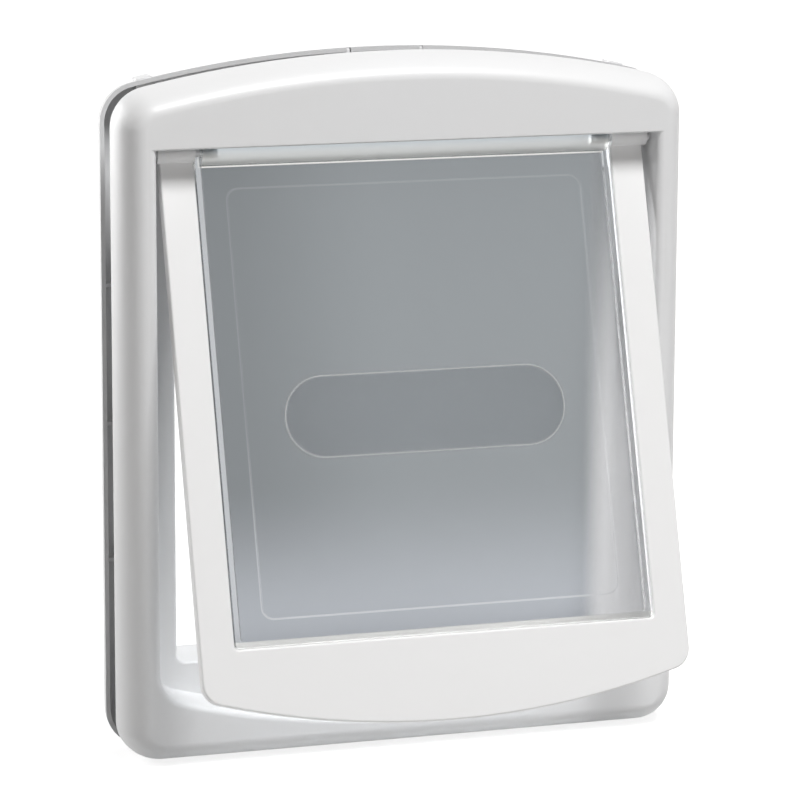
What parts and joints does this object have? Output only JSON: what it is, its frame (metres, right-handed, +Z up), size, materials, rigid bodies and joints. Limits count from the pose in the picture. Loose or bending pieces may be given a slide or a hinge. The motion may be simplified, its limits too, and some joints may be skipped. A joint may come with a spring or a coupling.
{
  "type": "pet door",
  "caption": "White two-way pet door: arched front and rear frames clamped through a door leaf, a white flap surround that swings outward and a clear flap in it that swings inward.",
  "frame": {"origin": "centre of the way through and of the door cut-out, in the plane of the door leaf's front face, where the front frame's rim rests", "axes": "+X to the right seen from the front, +Y through the leaf to the rear, +Z up"},
  "size_m": [0.294, 0.1348, 0.352],
  "materials": {
    "white_plastic": "satin",
    "surround_plastic": "satin",
    "clear_plastic": "gloss",
    "steel": "satin",
    "magnet": "satin",
    "pile": "matte"
  },
  "bodies": {
    "frame": {"front_frame": "white_plastic", "rear_frame": "white_plastic", "hinge_pin_left": "white_plastic", "hinge_pin_right": "white_plastic", "pin_clip_left": "steel", "pin_clip_right": "steel", "frame_screws": "steel", "screw_caps": "white_plastic", "sill_keeper": "steel"},
    "surround": {"flap_surround": "surround_plastic", "surround_magnet": "magnet", "pile_strip_left": "pile", "pile_strip_right": "pile", "pile_strip_bottom": "pile"},
    "clear_flap": {"clear_flap": "clear_plastic"}
  },
  "joints": [
    {"name": "surround_swing", "type": "hinge", "parent": "frame", "child": "surround", "pos_m": [0, -0.012, 0.124], "axis": [-1, 0, 0], "range_deg": [-17.5, 62.5]},
    {"name": "flap_swing", "type": "hinge", "parent": "surround", "child": "clear_flap", "pos_m": [0, -0.012, 0.124], "axis": [1, 0, 0], "range_deg": [0, 80]}
  ]
}
